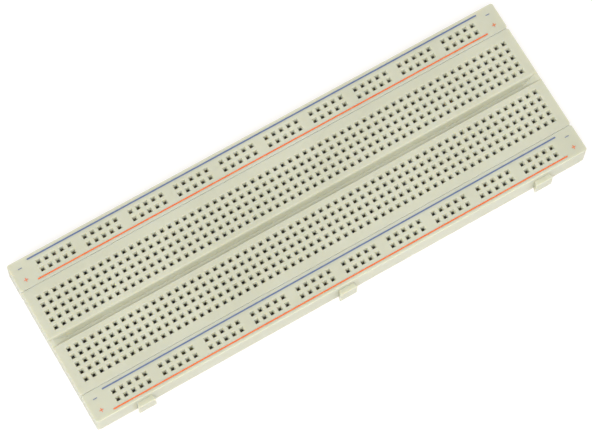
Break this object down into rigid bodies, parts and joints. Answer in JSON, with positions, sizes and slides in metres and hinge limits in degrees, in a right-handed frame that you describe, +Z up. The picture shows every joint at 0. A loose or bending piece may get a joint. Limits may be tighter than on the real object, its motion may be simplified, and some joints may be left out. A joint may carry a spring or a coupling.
{
  "type": "solderless breadboard",
  "caption": "Flat plastic board with a grid of sprung contact holes for building circuits without solder, with power-rail strips dovetailed to its long sides.",
  "frame": {"origin": "middle of the underside, on the bottom face of the release liner, midway between the ends and between the two long sides (tabs not counted)", "axes": "+X along the long sides, +Y to the long side that has the dovetail slots (the tabs point to -Y), +Z up, out of the face with the tie points"},
  "size_m": [0.165, 0.0556, 0.0097],
  "materials": {
    "housing_plastic": "moulded ivory-white ABS, fine satin grain",
    "clip_metal": "nickel-plated spring metal, stamped",
    "foam_tape": "closed-cell foam tape",
    "liner_paper": "waxed release paper",
    "red_ink": "pad-printed red ink",
    "blue_ink": "pad-printed blue ink"
  },
  "bodies": {
    "far_bus_strip": {"far_bus_foam_pad": "foam_tape", "far_bus_housing": "housing_plastic", "far_bus_negative_clip": "clip_metal", "far_bus_positive_clip": "clip_metal", "release_liner": "liner_paper"},
    "terminal_strip": {"terminal_clips_far_01": "clip_metal", "terminal_clips_far_02": "clip_metal", "terminal_clips_far_03": "clip_metal", "terminal_clips_far_04": "clip_metal", "terminal_clips_far_05": "clip_metal", "terminal_clips_far_06": "clip_metal", "terminal_clips_far_07": "clip_metal", "terminal_clips_far_08": "clip_metal", "terminal_clips_far_09": "clip_metal", "terminal_clips_far_10": "clip_metal", "terminal_clips_far_11": "clip_metal", "terminal_clips_far_12": "clip_metal", "terminal_clips_far_13": "clip_metal", "terminal_clips_far_14": "clip_metal", "terminal_clips_far_15": "clip_metal", "terminal_clips_far_16": "clip_metal", "terminal_clips_far_17": "clip_metal", "terminal_clips_far_18": "clip_metal", "terminal_clips_far_19": "clip_metal", "terminal_clips_far_20": "clip_metal", "terminal_clips_far_21": "clip_metal", "terminal_clips_near_01": "clip_metal", "terminal_clips_near_02": "clip_metal", "terminal_clips_near_03": "clip_metal", "terminal_clips_near_04": "clip_metal", "terminal_clips_near_05": "clip_metal", "terminal_clips_near_06": "clip_metal", "terminal_clips_near_07": "clip_metal", "terminal_clips_near_08": "clip_metal", "terminal_clips_near_09": "clip_metal", "terminal_clips_near_10": "clip_metal", "terminal_clips_near_11": "clip_metal", "terminal_clips_near_12": "clip_metal", "terminal_clips_near_13": "clip_metal", "terminal_clips_near_14": "clip_metal", "terminal_clips_near_15": "clip_metal", "terminal_clips_near_16": "clip_metal", "terminal_clips_near_17": "clip_metal", "terminal_clips_near_18": "clip_metal", "terminal_clips_near_19": "clip_metal", "terminal_clips_near_20": "clip_metal", "terminal_clips_near_21": "clip_metal", "terminal_foam_pad": "foam_tape", "terminal_housing": "housing_plastic"},
    "near_bus_strip": {"near_bus_foam_pad": "foam_tape", "near_bus_housing": "housing_plastic", "near_bus_negative_clip": "clip_metal", "near_bus_positive_clip": "clip_metal"}
  },
  "joints": [
    {"name": "terminal_strip_lift", "type": "slide", "parent": "far_bus_strip", "child": "terminal_strip", "axis": [0, 0, 1], "range_m": [0, 0.012]},
    {"name": "near_bus_strip_lift", "type": "slide", "parent": "terminal_strip", "child": "near_bus_strip", "axis": [0, 0, 1], "range_m": [0, 0.012]}
  ]
}
